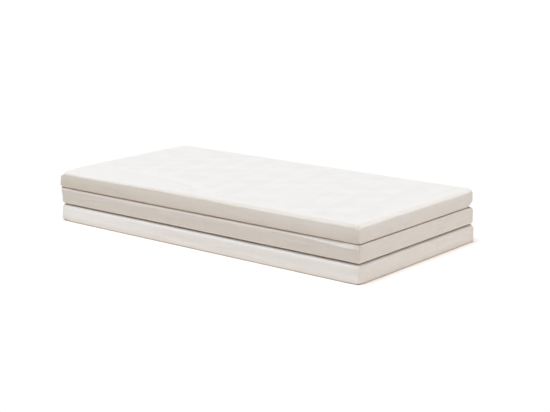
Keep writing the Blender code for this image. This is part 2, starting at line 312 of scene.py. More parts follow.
def tube(path, radius, sides=6, closed=False):
    """Points and faces of a tube along a path."""
    path = np.asarray(path, float)
    ahead = np.roll(path, -1, 0) - np.roll(path, 1, 0)
    if not closed:
        ahead[0] = path[1] - path[0]
        ahead[-1] = path[-1] - path[-2]
    ahead = unit(ahead)
    across = unit(np.cross(ahead, np.eye(3)[np.abs(ahead).max(axis=0).argmin()]))
    third = np.cross(across, ahead)
    turns = np.arange(sides) * TURN / sides
    ring = np.cos(turns)[:, None, None] * across + np.sin(turns)[:, None, None] * third
    points = (path + radius * ring).transpose(1, 0, 2).reshape(-1, 3)
    ids = np.arange(len(points)).reshape(-1, sides)
    wrapped = np.pad(ids, ((0, int(closed)), (0, 1)), "wrap")
    faces = [tuple(q) for q in quads_of(wrapped)[:, [0, 3, 2, 1]]]
    if not closed:
        faces += [tuple(ids[0, ::-1]), tuple(ids[-1])]
    return points, faces


def thick(front, back):
    """Points and faces of a closed piece between two facing grids of points."""
    points = np.concatenate([front.reshape(-1, 3), back.reshape(-1, 3)])
    count = len(points) // 2
    quads = quads_of(np.arange(count).reshape(front.shape[:2]))
    faces = [tuple(q) for q in quads] + [tuple(v + count for v in reversed(q)) for q in quads]
    faces += [(b, a, a + count, b + count) for a, b in open_edges(quads)]
    return points, faces


def joined(shapes):
    points, faces, start = [], [], 0
    for some_points, some_faces in shapes:
        points.append(some_points)
        faces += [tuple(v + start for v in face) for face in some_faces]
        start += len(some_points)
    return np.concatenate(points), faces


def outward(obj):
    bm = bmesh.new()
    bm.from_mesh(obj.data)
    bmesh.ops.recalc_face_normals(bm, faces=bm.faces)
    bm.to_mesh(obj.data)
    bm.free()
    return obj


# The skin of a cover


def halved(lines):
    """The same grid lines with one more halfway between each two."""
    fine = np.empty(2 * len(lines) - 1)
    fine[::2] = lines
    fine[1::2] = (lines[1:] + lines[:-1]) / 2
    return fine


def spaced(low, high, cell):
    """Even lines from low up to, but not including, high."""
    count = max(1, round((high - low) / cell))
    return list(np.linspace(low, high, count, endpoint=False))


def round_lines(end):
    """Lines at equal angles through an edge's round, up to the box's face."""
    angles = np.linspace(0, math.pi / 4, ROUND_STEPS + 1)
    return list(end - EDGE_RADIUS + EDGE_RADIUS * np.tan(angles))


def lines_across(half, marks=()):
    """Grid lines from -half to half, with one on each mark."""
    rounded = round_lines(half)
    stops = sorted([-rounded[0], *marks, rounded[0]])
    lines = [-x for x in reversed(rounded)][:-1]
    for low, high in zip(stops, stops[1:]):
        lines += spaced(low, high, CELL)
    return np.array(lines + rounded)


def lines_up():
    """Grid lines from the base seam up, with two on the zip mouth's edges."""
    stops = [BASE_ROUND, ZIP_HEIGHT - MOUTH_EDGE, ZIP_HEIGHT]
    stops += [ZIP_HEIGHT + MOUTH_EDGE, THICKNESS - EDGE_RADIUS]
    lines = [0, BASE_ROUND / 2]
    for low, high in zip(stops, stops[1:]):
        lines += spaced(low, high, CELL_UP)
    return np.array(lines + round_lines(THICKNESS))


class Skin:
    """The surface of a cover, open below: grid lines on a box with rounded edges."""

    def __init__(self, xs, ys, zs):
        shape = (len(xs), len(ys), len(zs))
        i, j, k = np.indices(shape)
        on_side = (i == 0) | (i == shape[0] - 1) | (j == 0) | (j == shape[1] - 1)
        on_surface = on_side | (k == shape[2] - 1)
        self.ids = np.full(shape, -1, np.int64)
        self.ids[on_surface] = np.arange(on_surface.sum())
        self.index = np.argwhere(on_surface)
        self.flat = np.stack([line[n] for line, n in zip((xs, ys, zs), self.index.T)], 1)
        self.along, self.across, self.up = self.flat.T
        self.rise = np.clip(self.up / THICKNESS, 0, 1)
        self.to_end = HALF_LENGTH - np.abs(self.along)
        self.to_side = HALF_WIDTH - np.abs(self.across)
        self.inward = np.minimum(self.to_end, self.to_side)
        self._round()
        # All faces look outward: the sleeping side, then the four sides.
        ids = self.ids
        tables = (ids[:, :, -1], ids[:, 0, :], ids[::-1, -1, :], ids[0, ::-1, :], ids[-1, :, :])
        self.quads = np.concatenate([quads_of(table) for table in tables])
        self.zones = self._zones()

    def _round(self):
        room = np.array([HALF_LENGTH, HALF_WIDTH, THICKNESS]) - EDGE_RADIUS
        core = np.clip(self.flat, (-room[0], -room[1], -1), room)
        self.normals = unit(self.flat - core)
        self.points = core + EDGE_RADIUS * self.normals
        self.facing_x, self.facing_y, self.facing_up = self.normals.T
        self.on_long_side = np.abs(self.facing_y) > 0.7
        self.out = self.normals * (1, 1, 0)  # outward on the sides, nothing on the sleeping side
        self.side = np.linalg.norm(self.out, axis=1)

    def _zones(self):
        """For each face: 0 is cover, 1 is the zip's mouth, and 2 is the facing below it."""
        x, y, z = self.flat[self.quads].mean(axis=1).T
        at_zip = (x < -HALF_LENGTH + 1e-6) & (np.abs(y) < MOUTH_END)
        zones = np.zeros(len(x), int)
        zones[at_zip & (np.abs(z - ZIP_HEIGHT) < MOUTH_EDGE)] = 1
        zones[at_zip & (z < ZIP_HEIGHT - MOUTH_EDGE)] = 2
        return zones


def make_skins():
    """The coarse skin, for the simulation and the inner wall, and the fine one."""
    xs = lines_across(HALF_LENGTH)
    ys = lines_across(HALF_WIDTH, (-MOUTH_END, MOUTH_END))
    zs = lines_up()
    return Skin(xs, ys, zs), Skin(halved(xs), halved(ys), halved(zs))


def onto_fine(coarse, fine, field):
    """A field on the coarse skin, read at the fine skin's points."""
    total = np.zeros((len(fine.index), field.shape[1]))
    for corner in range(8):
        step = np.array([(corner >> axis) & 1 for axis in range(3)])
        at = (fine.index + step) // 2
        total += field[coarse.ids[at[:, 0], at[:, 1], at[:, 2]]]
    return total / 8


def smoothed(skin, field, passes):
    """The field with each point moved toward the mean of its neighbours."""
    a, b = edges_of(skin.quads).T
    degree = np.bincount(a, minlength=len(field))[:, None]
    for _ in range(passes):
        mean = np.stack([np.bincount(a, field[b, c], len(field)) for c in range(3)], 1) / degree
        field = 0.4 * field + 0.6 * mean
    return field


# Where things are on a panel


def near_ends(place, start, half):
    """From 0 at a panel's middle to 1 at its low and at its high edge."""
    return smoothstep(start, half, -place), smoothstep(start, half, place)


def zip_zone(skin):
    """1 beside the zip, where the cloth lies flat on its tapes, and 0 away from it."""
    along = np.maximum(np.abs(skin.across) - MOUTH_END, 0)
    away = np.hypot(along, np.abs(skin.up - ZIP_HEIGHT))
    return np.clip(-skin.facing_x, 0, 1) * (1 - smoothstep(0.0145, 0.024, away))


def place_in_stack(points, panel):
    low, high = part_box(f"{panel}_base_sheet")
    if panel == "middle":
        return points * (1, -1, -1) + (0, 0, high.z)
    return points + (0, 0, low.z)


# The form of a cover


def leaning(flat, panel):
    """How far the sides lean, as moves for points at these flat places."""
    to_front, to_back, to_left, to_right = LEAN[panel]
    rise = flat[:, 2] / THICKNESS
    front, back = near_ends(flat[:, 1] * WAY_UP[panel], NEAR_SIDE, HALF_WIDTH)
    left, right = near_ends(flat[:, 0], NEAR_END, HALF_LENGTH)
    across = rise * (to_front * front - to_back * back)
    if panel == "bottom":
        across -= BOTTOM_FRONT_PROUD * front
    along = rise * (to_left * left - to_right * right)
    return stacked(along, WAY_UP[panel] * across, 0)


def rolled_back(flat, panel):
    """The sides give way a little more just under the sleeping edge."""
    size = ROLLED_BACK[panel] * np.clip(flat[:, 2] / THICKNESS, 0, 1) ** 3
    left, right = near_ends(flat[:, 0], NEAR_END, HALF_LENGTH)
    low, high = near_ends(flat[:, 1], NEAR_SIDE, HALF_WIDTH)
    return stacked(size * (left - right), size * (low - high), 0)


def corner_of(flat, panel, end, side):
    """How far each point lies from one upright corner along X and along Y."""
    along = flat[:, 0] * SIGN[end]
    across = flat[:, 1] * WAY_UP[panel] * SIGN[side]
    return HALF_LENGTH - along, HALF_WIDTH - across


def upright_push(skin, panel):
    push = np.zeros(len(skin.flat))
    for corner, size in UPRIGHT_PUSH[panel].items():
        along, across = corner_of(skin.flat, panel, *corner)
        push += size * bell(along, PUSH_REACH) * bell(across, PUSH_REACH)
    return push


def drawn_in(gap, radius):
    """Moves that turn the meeting of these faces into part of a ball or a cylinder."""
    radius = np.broadcast_to(radius, len(gap))
    over = np.clip(radius[:, None] - gap, 0, None)
    size = np.linalg.norm(over, axis=1)
    return over * np.clip(1 - radius / np.maximum(size, 1e-9), 0, 1)[:, None]


def round_sleeping_edge(points, panel):
    at_left, at_right = SLEEPING_EDGE[panel]
    radius = at_left + (at_right - at_left) * smoothstep(-HALF_LENGTH, 0.5, points[:, 0])
    for axis, half in ((0, HALF_LENGTH), (1, HALF_WIDTH)):
        gap = stacked(half - np.abs(points[:, axis]), THICKNESS - points[:, 2])
        inward = drawn_in(gap, radius)
        points[:, axis] -= np.sign(points[:, axis]) * inward[:, 0]
        points[:, 2] -= inward[:, 1]
    return points


def round_corners(points, flat, panel):
    """Draws the cover in where two sides meet the base or the sleeping side."""
    levels = ((BASE_CORNER, 0, 1), (SLEEPING_CORNER[panel], THICKNESS, -1))
    for corner in itertools.product(("left", "right"), ("front", "back")):
        to_middle = (-SIGN[corner[0]], -SIGN[corner[1]] * WAY_UP[panel])
        for radius, level, up_sign in levels:
            flat_gap, gap = (
                stacked(*corner_of(at, panel, *corner), (at[:, 2] - level) * up_sign)
                for at in (flat, points)
            )
            share = smoothstep(0, 0.6, 1 - flat_gap.max(axis=1) / radius)
            points = points + drawn_in(gap, radius) * share[:, None] * (*to_middle, up_sign)
        size, height = TUCKED_CORNERS[panel].get(corner, (0, 1))
        along, across = corner_of(flat, panel, *corner)
        share = bell(along, TUCK_REACH) * bell(across, TUCK_REACH) * size
        below = np.clip(1 - flat[:, 2] / height, 0, 1)
        arc = share * (1 - np.sqrt(1 - below**2))
        lift = share * 0.55 * below**2
        points = points + stacked(*(arc * sign for sign in to_middle), lift)
    return points


def sunk(flat, panel):
    """How far the top panel's sleeping side has sunk along its front edge."""
    if panel != "top":
        return np.zeros(len(flat))
    to_left = smoothstep(-0.05, HALF_LENGTH, -flat[:, 0])
    size = EDGE_SUNK * to_left * bell(HALF_WIDTH + flat[:, 1], 0.075)
    return size * np.clip(flat[:, 2] / THICKNESS, 0, 1) ** 5


def form_of(skin, panel):
    points = skin.points + leaning(skin.flat, panel)
    hollow = SIDE_INSET * np.sin(math.pi * skin.rise) ** 0.7 * (1 - zip_zone(skin))
    points += skin.out * (upright_push(skin, panel) - hollow)[:, None]

    turn = np.clip(1 - skin.up / BASE_ROUND, 0, 1) * math.pi / 2
    points -= skin.out * (BASE_ROUND * (1 - np.cos(turn)))[:, None]
    turned_up = BASE_ROUND * (1 - np.sin(turn))
    points[:, 2] = np.where(skin.up < BASE_ROUND, turned_up, points[:, 2])
    points = round_sleeping_edge(points, panel) + rolled_back(skin.flat, panel)
    points = round_corners(points, skin.flat, panel)
    points[:, 2] -= sunk(skin.flat, panel)
    return points


def held_weights(skin):
    """How firmly the base seam, the zip and the foam under the top hold each point."""
    on_top = smoothstep(0.012, 0.050, skin.inward)
    at_seam = 1 - smoothstep(0.002, 0.008, skin.up)
    return np.clip(np.maximum.reduce([on_top, at_seam, zip_zone(skin)]), 0, 1)


def swell(skin, panel):
    """Runs the cloth on the coarse skin and returns how far each point moves."""
    start = form_of(skin, panel)
    start += skin.normals * (0.00035 * waves(skin.flat, (0.030, 0.075), SEEDS[panel]))[:, None]
    quads = skin.quads[skin.zones != 1]
    pad = mesh_object(f"{panel}_sim", start, quads)
    weights = held_weights(skin)
    weights[np.setdiff1d(np.arange(len(start)), quads)] = 1
    weights = np.round(weights, 2)
    held = pad.vertex_groups.new(name="held")
    for value in np.unique(weights):
        held.add([int(v) for v in np.flatnonzero(weights == value)], float(value), "REPLACE")
    cloth = pad.modifiers.new("cloth", "CLOTH")
    for key, value in CLOTH_SETTINGS.items():
        setattr(cloth.settings, key, value)
    cloth.settings.effector_weights.gravity = 0
    cloth.collision_settings.use_collision = False
    scene = bpy.context.scene
    for step in range(1, SIM_FRAMES + 1):
        scene.frame_set(step)
    settled = pad.evaluated_get(bpy.context.evaluated_depsgraph_get())
    values = np.empty(len(start) * 3, np.float32)
    settled.data.vertices.foreach_get("co", values)
    bpy.data.objects.remove(pad)
    scene.frame_set(1)
    return values.reshape(-1, 3).astype(float) - start


def capped(field, cap):
    """No point moves further than the cap, and small moves stay as they are."""
    size = np.linalg.norm(field, axis=1)[:, None]
    return field * np.where(size > 0, cap * np.tanh(size / cap) / np.maximum(size, 1e-9), 0)


def backed_by_foam(skin, field):
    """The foam lets the cloth swell out freely, but sink in only a little."""
    too_deep = np.clip(-(field * skin.normals).sum(axis=1) - MOST_SUNK, 0, None)
    return field + skin.normals * too_deep[:, None]


def drag_lines(skin, panel, count=26):
    """Long, faint wrinkles along the sides, at chance places and slight slopes."""
    chance = random.Random(SEEDS[panel] + 5)
    height = np.zeros(len(skin.flat))
    on_long_side = np.abs(skin.facing_y) > 0.5
    on_end = (np.abs(skin.facing_x) > 0.5) & ~on_long_side
    for _ in range(count):
        if chance.random() < 0.7:
            reach, on_side, along, other = HALF_LENGTH, on_long_side, skin.along, skin.facing_y
        else:
            reach, on_side, along, other = HALF_WIDTH, on_end, skin.across, skin.facing_x
        facing = other * chance.choice((-1, 1)) > 0
        place = chance.uniform(-reach, reach)
        length, slope, level, width = (chance.uniform(*limits) for limits in DRAG_LIMITS)
        size = chance.uniform(0.0003, 0.0008) * chance.choice((-1, 1))
        away = skin.up - level - slope * (along - place)
        height += on_side * facing * size * bell(along - place, length) * bell(away, width)
    return height


def seam_puckers(skin, panel):
    """Short ripples where the skirt is gathered into the base seam."""
    perimeter = np.where(skin.on_long_side, skin.along, skin.across)[:, None]
    ripple = waves(perimeter, (0.013, 0.026), SEEDS[panel] + 1, 5)
    patchy = 0.5 + 0.5 * waves(perimeter, (0.10, 0.30), SEEDS[panel] + 2, 4)
    return 0.00042 * ripple * np.clip(patchy, 0, 1) * bell(skin.up - 0.004, 0.009)


def end_puckers(skin, panel):
    """Upright puckers on the long sides beside the left end's seams."""
    ripple = waves(skin.along[:, None], (0.012, 0.020), SEEDS[panel] + 3, 3)
    fade = 1 - smoothstep(-HALF_LENGTH + 0.02, -HALF_LENGTH + 0.26, skin.along)
    return 0.00065 * ripple * fade * np.sin(math.pi * skin.rise) * skin.on_long_side


def corner_seams(skin, panel):
    """A sewn groove down each upright corner, with a low ridge on each side."""
    along = np.abs(skin.along) - (HALF_LENGTH - EDGE_RADIUS)
    across = np.abs(skin.across) - (HALF_WIDTH - EDGE_RADIUS)
    angle = np.arctan2(np.clip(along, 0, None), np.clip(across, 0, None)) - math.pi / 4
    slope = SEAM_LEAN[panel] * (1 - 2 * skin.rise)
    beside = angle * EDGE_RADIUS + 0.0016 * np.sin(math.pi * skin.rise + SEEDS[panel]) + slope
    shown = (along > 0) & (across > 0)
    shown = shown * (1 - smoothstep(THICKNESS - 0.011, THICKNESS - 0.003, skin.up))
    groove = bell(beside, 0.0013)
    ridge = bell(np.abs(beside) - 0.0034, 0.0016)
    # The groove's mask also carries its painted shade.
    return shown * (0.0004 * ridge - 0.0011 * groove), shown * groove


def fold_of(skin):
    """The middle panel's fold: its height over the base seam, and how hard it is pinched."""
    line = 0.008 + 0.008 * smoothstep(0.44, 0.66, skin.along)
    pinch = smoothstep(0.42, 0.58, skin.along) * (1 - smoothstep(0.665, 0.690, skin.along))
    return line, pinch


def pinched_fold(skin, panel):
    """The middle panel's front lies back below its fold."""
    if panel != "middle":
        return 0
    line, pinch = fold_of(skin)
    under = skin.up - line
    laid_back = (0.0010 + 0.0010 * pinch) * np.clip(-under / line, 0, 1)
    fold = pinch * (0.0004 * bell(under, 0.0020) - 0.0010 * bell(under - 0.006, 0.0035))
    return (skin.facing_y > 0.5) * (fold - laid_back)


def edge_waver(skin, panel):
    """The sleeping edge wanders a little in and out along its length."""
    rise = smoothstep(0.45, 0.95, skin.rise)
    return 0.0004 * waves(skin.flat, (0.12, 0.40), SEEDS[panel] + 4) * rise - 0.0003 * rise


def within_limits(points, skin, panel):
    """No side with a hinge stands proud of its CAD panel."""
    proud = {side: FREE_BULGE for side in ("front", "back")}
    proud.update({side: -0.0002 for side in HINGE_SIDES[panel]})
    if panel == "bottom":
        proud["front"] += BOTTOM_FRONT_PROUD
    turned = points * (1, WAY_UP[panel], 1)
    low = (-HALF_LENGTH - 0.0012, -HALF_WIDTH - proud["front"], 0.0002)
    high = (HALF_LENGTH + FREE_BULGE, HALF_WIDTH + proud["back"], THICKNESS + 0.0002)
    return np.clip(turned, low, high) * (1, WAY_UP[panel], 1)


def dressed(skin, panel, field):
    """The finished outer surface, and where its upright seams run."""
    seam_groove, on_seam = corner_seams(skin, panel)
    proud = drag_lines(skin, panel) + seam_puckers(skin, panel) + end_puckers(skin, panel)
    proud += pinched_fold(skin, panel) + edge_waver(skin, panel)
    proud = proud * (1 - zip_zone(skin)) * skin.side + seam_groove
    points = form_of(skin, panel) + field + skin.normals * proud[:, None]
    ripple = 0.00006 * waves(skin.flat, (0.05, 0.16), SEEDS[panel] + 6, 8) - 0.0001
    points[:, 2] += (1 - skin.side) * ripple
    return within_limits(points, skin, panel), on_seam


def facing_front(skin, panel):
    return np.clip(-skin.facing_y * WAY_UP[panel], 0, 1)


def base_seam_shade(skin, panel):
    """Darker toward the base seam: the seam's dark line, which also paints the shade in its groove
    and at the floor, and painted shade a little way up the skirt, more on the front.
    """
    front = facing_front(skin, panel)
    painted_low_shade = BASE_PAINTED_SHADE[panel] * (0.3 + 0.7 * front) * (1 - smoothstep(0.004, 0.036, skin.up))
    closed = 0 if panel == "bottom" else fold_of(skin)[1] * (front > 0.5)
    reach = SEAM_REACH[panel] * (1 - 0.4 * closed)
    return np.maximum((1 - smoothstep(0.0006, 1, skin.up / reach)) * (1 - 0.85 * closed), painted_low_shade)


def crease_shade(skin, panel):
    """Painted shade in the groove where two sleeping edges are pressed together."""
    if panel == "top":
        return np.zeros(len(skin.up))
    on_top = smoothstep(0.78, 0.96, skin.facing_up)
    return 0.42 * on_top * (1 - smoothstep(0.008, 0.015, skin.inward))


def shade_and_wear_of(skin, panel):
    """Rubbed and slightly soiled along the edges and at the corners, and painted shade on the front
    side, on the top panel deeper toward the left.
    """
    edge = bell(skin.up - THICKNESS + 0.004, 0.007)
    rubbed = EDGE_WEAR[panel] * edge * np.clip(4 * skin.side * (1 - skin.side), 0, 1)
    corners = 0.4 * bell(skin.to_end, 0.030) * bell(skin.to_side, 0.030)
    low, to_left = FRONT_PAINTED_SHADE[panel]
    front = facing_front(skin, panel) * (low + to_left * smoothstep(-0.3, 0.65, -skin.along))
    return np.clip(rubbed + corners + front, 0, 1)


# Painted light: the bottom panel's skirts lighter, most on its long sides and toward the left.
# There is a painted highlight along its rounded sleeping edge and more painted light near its base.
# On the middle panel's front, a painted light band runs from the base seam up to the fold.
def painted_light_of(skin, panel):
    at_ends, at_sides = np.abs(skin.facing_x), np.abs(skin.facing_y)
    along = 1 - 0.5 * smoothstep(-0.65, 0.0, skin.along)
    painted_lit = SKIRT_PAINTED_LIGHT[panel] * (0.35 * at_ends + along * at_sides)
    if panel == "bottom":
        lip = bell(skin.up - THICKNESS + 0.005, 0.008)
        painted_lit += 0.6 * at_sides * (lip + 1 - smoothstep(0.004, 0.036, skin.up))
    if panel == "middle":
        line, pinch = fold_of(skin)
        above = 1 - smoothstep(-0.002, 0.002, skin.up - line)
        painted_lit += (skin.facing_y > 0.5) * above * (0.65 + 0.45 * pinch)
    return painted_lit


def shell(fine, coarse, outer, inner, zone):
    """The cover's zone of this number, with both faces of its cloth and closed edges."""
    inside = coarse.quads[coarse.zones == zone]
    start = len(outer)
    faces = [tuple(q) for q in fine.quads[fine.zones == zone]]
    faces += [tuple(start + v for v in reversed(q)) for q in inside]
    for a, b in open_edges(inside):
        at_a, at_b = 2 * coarse.index[a], 2 * coarse.index[b]
        far = [fine.ids[tuple(at)] for at in (at_b, (at_a + at_b) // 2, at_a)]
        faces.append((*far, start + a, start + b))
    return np.concatenate([outer, inner]), faces


def as_part(obj, body, stands_for=None):
    """Puts a piece on its body, and hides the CAD node that it replaces."""
    if stands_for is not None:
        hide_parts(stands_for)
    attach(obj, body)
    return obj


def main_cover(fine, coarse, panel):
    moved = swell(coarse, panel)
    moved = backed_by_foam(coarse, capped(moved, SWELL_CAP)) * (1 - zip_zone(coarse))[:, None]
    outer, on_seam = dressed(fine, panel, smoothed(fine, onto_fine(coarse, fine, moved), 10))
    inner = outer[fine.ids[tuple(2 * coarse.index.T)]] - coarse.normals * CLOTH
    inner[:, 2] = np.maximum(inner[:, 2], 0.0013)
    # Painted shade at the base seam, in the upright seams' grooves and in the creases, with the
    # seams' own darker lines
    seams = (base_seam_shade(fine, panel), 0.4 * on_seam, crease_shade(fine, panel))
    looks = (np.maximum.reduce(seams), shade_and_wear_of(fine, panel), painted_light_of(fine, panel))
    looks = [np.concatenate([look, np.zeros(len(inner))]) for look in looks]
    for piece, stands_for, zone in (("cover", "cover_sheet", 0), ("zip_facing", "zip_facing", 2)):
        points, faces, kept = compact(*shell(fine, coarse, outer, inner, zone), *looks)
        points = place_in_stack(points, panel)
        obj = mesh_object(f"{panel}_{piece}", points, faces, MATERIALS["cover_cotton"])
        for attribute, values in zip(("seam_shade", "wear", "painted_light"), kept):
            paint(obj, attribute, values)
        as_part(obj, f"{panel}_panel", f"{panel}_{stands_for}")
    return outer


def thread_end_shape(outer, fine):
    aim = np.array([HALF_LENGTH - 0.005, -HALF_WIDTH + 0.005, THICKNESS])
    at = outer[np.linalg.norm(fine.flat - aim, axis=1).argmin()]
    return tube(at + np.array(THREAD_END), 0.0008)


# Inside and under a cover


def add_piece(name, shape, slot, body, stands_for=None, look=None):
    """A closed piece on one body, in its slot's material unless another is named."""
    obj = outward(mesh_object(name, *shape, MATERIALS[look or slot]))
    return as_part(obj, body, stands_for)


def add_to_panel(panel, name, shape, slot, stands_for=None, look=None):
    points, faces = shape
    shape = place_in_stack(points, panel), faces
    stands_for = stands_for and f"{panel}_{stands_for}"
    return add_piece(f"{panel}_{name}", shape, slot, f"{panel}_panel", stands_for, look)


def base_ring(skin):
    """Ids round the open lower edge, in order."""
    ids = skin.ids[:, :, 0]
    return np.concatenate([ids[:-1, 0], ids[-1, :-1], ids[:0:-1, -1], ids[0, :0:-1]])


def foam_shape(coarse, panel):
    """The foam block, a little inside the cover, and cut back behind the zip."""
    points = form_of(coarse, panel) - coarse.normals * FOAM_GAP
    points[:, 0] = np.maximum(points[:, 0], -HALF_LENGTH + FOAM_BEHIND_ZIP)
    below = coarse.flat * (1, 1, 0)
    lift = round_corners(below + leaning(below, panel), below, panel)[:, 2]
    points[:, 2] = np.maximum(points[:, 2], lift + CLOTH + 0.0012)
    points += coarse.normals * (0.0002 * waves(coarse.flat, (0.01, 0.03), SEEDS[panel]))[:, None]
    faces = [tuple(q) for q in coarse.quads] + [tuple(reversed(base_ring(coarse)))]
    return points, faces


def rounded_plan(half_length, half_width, radius, cell):
    """A grid over a rectangle with round corners, as tables of X and Y."""
    tables = []
    for half in (half_length, half_width):
        edge = half - radius * np.array([0, 0.2, 0.45, 0.7, 1.0])
        room = edge[-1] - 0.05
        inner = spaced(-edge[-1], -room, 0.005) + spaced(-room, room, cell)
        inner += spaced(room, edge[-1], 0.005)
        tables.append(np.concatenate([-edge[:-1], inner, edge[::-1]]))
    at = np.stack(grid(*tables))
    over = np.abs(at) - (np.array([half_length, half_width]) - radius)[:, None, None]
    over = np.clip(over, 0, None)
    size = np.hypot(*over)
    share = np.where(size > 0, over.max(axis=0) / np.maximum(size, 1e-9), 1)
    return np.sign(at) * (np.abs(at) - over + over * share)


def base_sheet_shape(panel):
    """The plain sheet on the base side, drawn flat between its seams."""
    inset = BASE_ROUND - 0.0005
    x, y = rounded_plan(HALF_LENGTH - inset, HALF_WIDTH - inset, EDGE_RADIUS - inset, 0.013)
    flat = stacked(x.ravel(), y.ravel(), 0)
    edge = np.minimum(HALF_LENGTH - np.abs(x), HALF_WIDTH - np.abs(y))
    slack = (waves(flat[:, :2], (0.03, 0.09), SEEDS[panel] + 8, 8) + 1).reshape(x.shape)
    dimple = 0.00016 * slack * smoothstep(0.004, 0.020, edge)
    moved = round_corners(flat + leaning(flat, panel), flat, panel)
    x, y, lift = moved.T.reshape(3, *x.shape)
    low = 0.0001 + dimple + lift + 0.0008 * smoothstep(0, 0.002, lift)
    return thick(stacked(x, y, low + CLOTH * 0.8), stacked(x, y, low))


def seam_bead_shape(outer, fine):
    """The turned seam allowance, which shows as a thin cord round the base, and whose dark thread
    also paints the shade in the groove.
    """
    ring = base_ring(fine)
    path = outer[ring] + fine.out[ring] * 0.0005
    path[:, 2] += 0.0007
    return tube(path, 0.00065, closed=True)


# Zip


def end_face(depth, y, z):
    """Points on the left end, at this depth outward from the cover's face."""
    return stacked(-HALF_LENGTH - depth, y, z)


def zip_tape_shape(side, panel):
    """One woven tape, with a rib beside the coil and a slight wave."""
    reach = MOUTH_END - 0.0003
    y, z = grid(np.linspace(-reach, reach, 117), TAPE_LINES)
    wave = 0.00012 * waves(y.reshape(-1, 1), (0.02, 0.06), SEEDS[panel] + side).reshape(y.shape)
    rib = 0.00022 * bell(z - 0.0034, 0.0004)
    height = ZIP_HEIGHT + side * z
    front = end_face(-0.0016 + wave * (z > 0.004) + rib, y, height)
    return thick(front, end_face(-0.0022, y, height))


def coil_shape(side):
    """One nylon coil, whose loops reach between the other coil's loops."""
    reach = MOUTH_END - 0.0126
    per_turn = 8
    turns = np.arange(int(2 * reach / COIL_PITCH) * per_turn) / per_turn
    y = -reach + COIL_PITCH * (turns + (0.5 if side > 0 else 0))
    z = ZIP_HEIGHT + side * (0.00133 - 0.00138 * np.cos(turns * TURN))
    depth = -0.0003 + 0.00060 * np.sin(turns * TURN)
    return tube(end_face(depth, y, z), COIL_WIRE, sides=5)


def end_tab_shape(end):
    """A folded scrap of tape, sewn over the end of the zip."""
    y, z = grid(np.linspace(0, 1, 13), np.linspace(-1, 1, 13))
    soft = np.sin(math.pi * np.clip(y, 0.02, 0.98)) ** 0.35 * np.cos(z * 1.5) ** 0.35
    depth = -0.0004 + 0.0009 * soft + 0.00008 * np.sin(y * 40)
    along = end * (MOUTH_END - 0.0005 - 0.0112 * y)
    height = ZIP_HEIGHT + z * (MOUTH_EDGE - 0.0004)
    return thick(end_face(depth, along, height), end_face(-0.0011, along, height))


def stitch_row(start, end, out, length=0.0030, gap=0.0013, radius=0.00021):
    start, end, out = (np.asarray(v, float) for v in (start, end, out))
    whole = np.linalg.norm(end - start)
    ahead = (end - start) / whole
    stitches = []
    for i in range(int(whole / (length + gap))):
        foot = start + ahead * (i * (length + gap) + gap / 2)
        path = [foot + ahead * length * share + out * radius * lift for share, lift in STITCH]
        stitches.append(tube(path, radius, sides=5))
    return joined(stitches)


def zip_stitching_shape():
    rows = []
    for offset in (-0.0084, 0.0084):
        y = np.array((-1, 1)) * (MOUTH_END - 0.002)
        rows.append(stitch_row(*end_face(0.00022, y, ZIP_HEIGHT + offset), out=(-1, 0, 0)))
    return joined(rows)


def bar_tack_shape(count=26):
    z = ZIP_HEIGHT + np.linspace(-0.0046, 0.0046, count)
    y = MOUTH_END - 0.0062 + 0.0012 * (np.arange(count) % 2)
    return joined([tube(end_face(0.00055, end * y, z), 0.00016, sides=5) for end in (-1, 1)])


def add_zip(panel):
    for side, name in ((1, "upper"), (-1, "lower")):
        node = f"zip_tape_{name}"
        tape = add_to_panel(panel, f"{node}_woven", zip_tape_shape(side, panel), "zip_tape", node)
        node = f"zip_coil_{name}"
        add_to_panel(panel, f"{node}_wound", coil_shape(side), "zip_coil", node)
    for end, name in ((1, "closed"), (-1, "open")):
        node = f"zip_end_tab_{name}"
        add_to_panel(panel, f"{node}_sewn", end_tab_shape(end), "zip_tape", node)
    for name, shape in (("bar_tacks", bar_tack_shape()), ("stitching", zip_stitching_shape())):
        add_to_panel(panel, f"zip_{name}", shape, "cover_cotton", look="thread")
    for name in ("zip_slider", "zip_pull"):
        node = frame["nodes"][f"{panel}_{name}"]
        node.material_slots[0].material = MATERIALS["zip_metal"]
        soften = node.modifiers.new("soft_edges", "BEVEL")
        soften.width = 0.00014
        soften.segments = 2
        soften.limit_method = "ANGLE"


# Hinge tapes and label


def tape_profile(leaf, recess):
    """Along one leaf, round the fold and back along the other, as (out, up)."""
    flat = np.linspace(-leaf, -recess, 9)
    turns = np.linspace(-math.pi / 2, math.pi / 2, 13)
    lower = [(out, -TAPE_FOLD) for out in flat[:-1]]
    fold = [(-recess + TAPE_FOLD * math.cos(a), TAPE_FOLD * math.sin(a)) for a in turns]
    upper = [(out, TAPE_FOLD) for out in flat[-2::-1]]
    return np.array(lower + fold + upper)


def hinge_tape(name, bodies, look):
    """The cloth hinge, folded double between two panels."""
    low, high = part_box(name)
    at_back = low.y > 0
    way_out = 1 if at_back else -1
    axis_y, axis_z = way_out * (HALF_WIDTH + 0.0004), (low.z + high.z) / 2
    leaf = high.y - low.y - TAPE_FOLD - TAPE_CLOTH / 2
    recess = 0.0004 if at_back else 0.0015
    profile = tape_profile(leaf, recess)
    ahead = unit(np.gradient(profile, axis=0))
    across = stacked(ahead[:, 1], -ahead[:, 0]) * TAPE_CLOTH / 2 * 0.96
    faces = []
    for line in (profile + across, profile - across):
        x, out = grid(np.linspace(low.x, high.x, 107), line[:, 0])
        faces.append(stacked(x, axis_y + way_out * out, axis_z + line[:, 1]))
    tape = outward(mesh_object(f"{name}_cloth", *thick(*faces), MATERIALS[look]))
    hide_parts(name)
    inner = TAPE_FOLD - TAPE_CLOTH / 2
    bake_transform(tape)
    for body, up in zip(bodies, (-1, 1)):
        y, z = axis_y - way_out * (leaf - 0.0022), axis_z + up * inner
        row = stitch_row((low.x + 0.004, y, z), (high.x - 0.004, y, z), out=(0, 0, -up))
        add_piece(f"{name}_stitching_{body}", row, "hinge_tape", body, look="thread")


